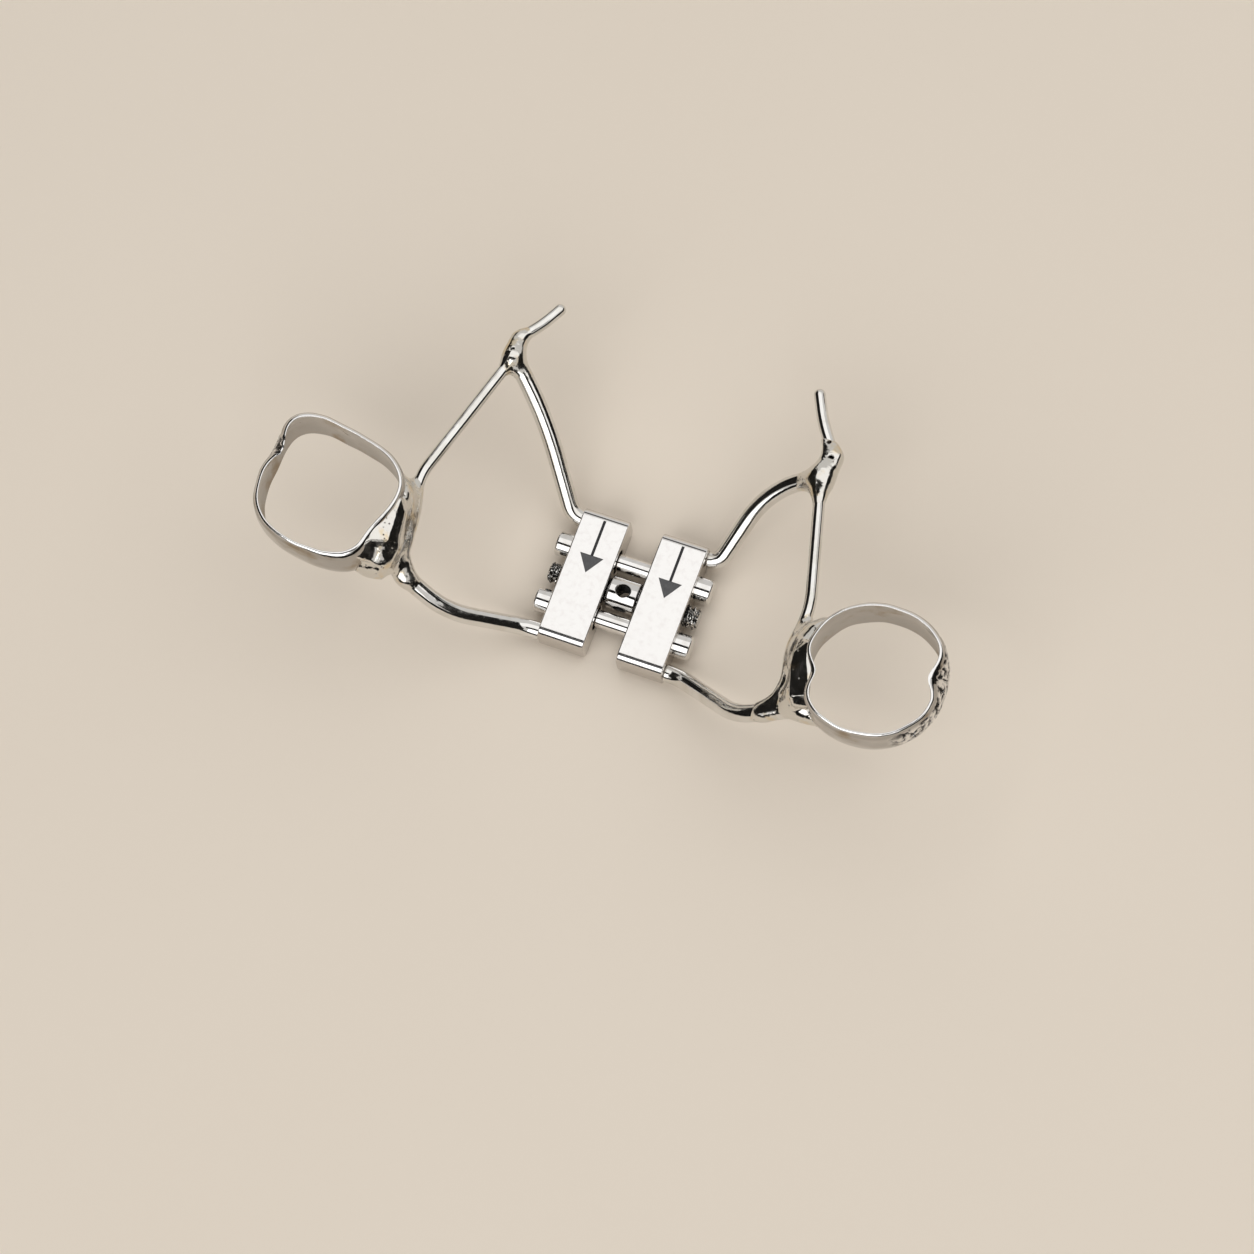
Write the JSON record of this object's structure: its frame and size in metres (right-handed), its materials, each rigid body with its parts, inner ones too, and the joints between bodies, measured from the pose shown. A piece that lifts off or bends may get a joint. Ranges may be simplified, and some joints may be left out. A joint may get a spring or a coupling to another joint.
{
  "type": "palatal expander",
  "caption": "Banded rapid palatal expander: a jackscrew between two guided housings, with wire arms and palatal bars soldered to molar bands, that widens an upper dental arch.",
  "frame": {"origin": "middle of the jackscrew, on its axis, where the collar's key holes cross", "axes": "+X along the screw towards the right half in the picture, +Y towards the incisors, +Z away from the palate"},
  "size_m": [0.0587, 0.0287, 0.0136],
  "materials": {
    "housing_steel": "satin machined stainless steel, nearly white under soft light",
    "screw_steel": "turned and polished stainless steel",
    "wire_steel": "mirror-polished stainless steel wire",
    "band_steel": "polished stainless steel strip, slightly dented where it was pressed on",
    "solder": "silver solder, polished smooth"
  },
  "bodies": {
    "guide": {"front_guide_pin": "screw_steel", "rear_guide_pin": "screw_steel"},
    "spindle": {"spindle": "screw_steel"},
    "left_half": {"left_housing": "housing_steel", "left_front_sleeve": "screw_steel", "left_rear_sleeve": "screw_steel", "left_front_arm": "wire_steel", "left_rear_arm": "wire_steel", "left_palatal_bar": "wire_steel", "left_molar_band": "band_steel", "left_band_solder": "solder", "left_front_solder": "solder"},
    "right_half": {"right_housing": "housing_steel", "right_front_sleeve": "screw_steel", "right_rear_sleeve": "screw_steel", "right_front_arm": "wire_steel", "right_rear_arm": "wire_steel", "right_palatal_bar": "wire_steel", "right_molar_band": "band_steel", "right_band_solder": "solder", "right_front_solder": "solder"}
  },
  "joints": [
    {"name": "spindle_turn", "type": "hinge", "parent": "guide", "child": "spindle", "pos_m": [0, 0, 0], "axis": [1, 0, 0], "range_deg": [0, 3150]},
    {"name": "left_slide", "type": "slide", "parent": "guide", "child": "left_half", "axis": [-1, 0, 0], "range_m": [0, 0.0035]},
    {"name": "right_slide", "type": "slide", "parent": "guide", "child": "right_half", "axis": [1, 0, 0], "range_m": [0, 0.0035]}
  ],
  "couplings": [
    {"joint": "right_slide", "follows": "left_slide", "ratio": 1},
    {"joint": "spindle_turn", "follows": "left_slide", "rad_per_m": 15708}
  ]
}
